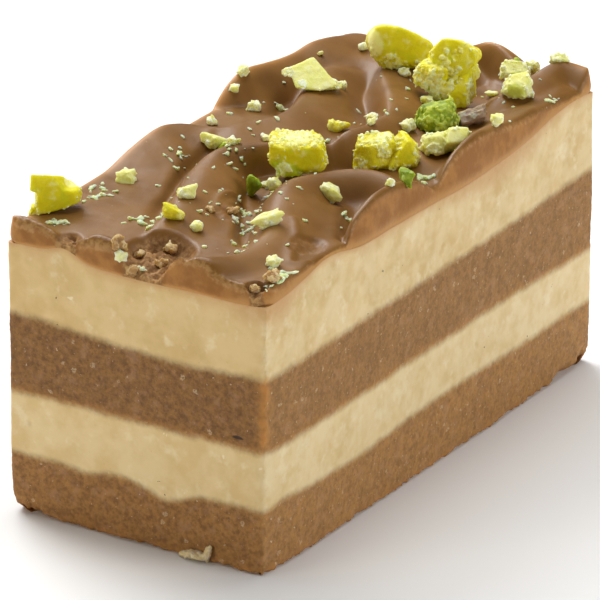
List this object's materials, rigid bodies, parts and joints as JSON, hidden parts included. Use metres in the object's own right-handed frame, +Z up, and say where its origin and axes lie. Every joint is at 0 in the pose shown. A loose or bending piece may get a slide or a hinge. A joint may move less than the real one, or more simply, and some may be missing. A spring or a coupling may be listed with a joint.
{
  "type": "layered nougat slice",
  "caption": "Cut block of layered brown and cream nougat with a swirled milk chocolate topping and chopped pistachio pieces on top.",
  "frame": {"origin": "middle of the underside, on the surface that the slice stands on", "axes": "+Z up through the layers, +Y along the slice's long side, +X across it"},
  "size_m": [0.0313, 0.063, 0.037],
  "materials": {
    "brown_nougat": "matt, fine-grained cut nougat",
    "cream_nougat": "matt, smooth cut cream nougat",
    "milk_chocolate": "satin milk chocolate",
    "pistachio_yellow": "yellow-green chopped kernel",
    "pistachio_pale": "pale green chopped kernel",
    "pistachio_green": "green chopped kernel"
  },
  "bodies": {
    "root": {"base_nougat": "brown_nougat", "lower_cream": "cream_nougat", "middle_nougat": "brown_nougat", "upper_cream": "cream_nougat", "chocolate_topping": "milk_chocolate", "pistachio_left": "pistachio_yellow", "pistachio_half_kernel": "pistachio_yellow", "pistachio_largest": "pistachio_yellow", "pistachio_pale_slice": "pistachio_pale", "pistachio_cube": "pistachio_yellow", "pistachio_middle": "pistachio_yellow", "pistachio_green": "pistachio_green", "pistachio_pale_pair": "pistachio_pale", "pistachio_right_front": "pistachio_pale", "pistachio_right_back": "pistachio_pale"}
  },
  "joints": []
}
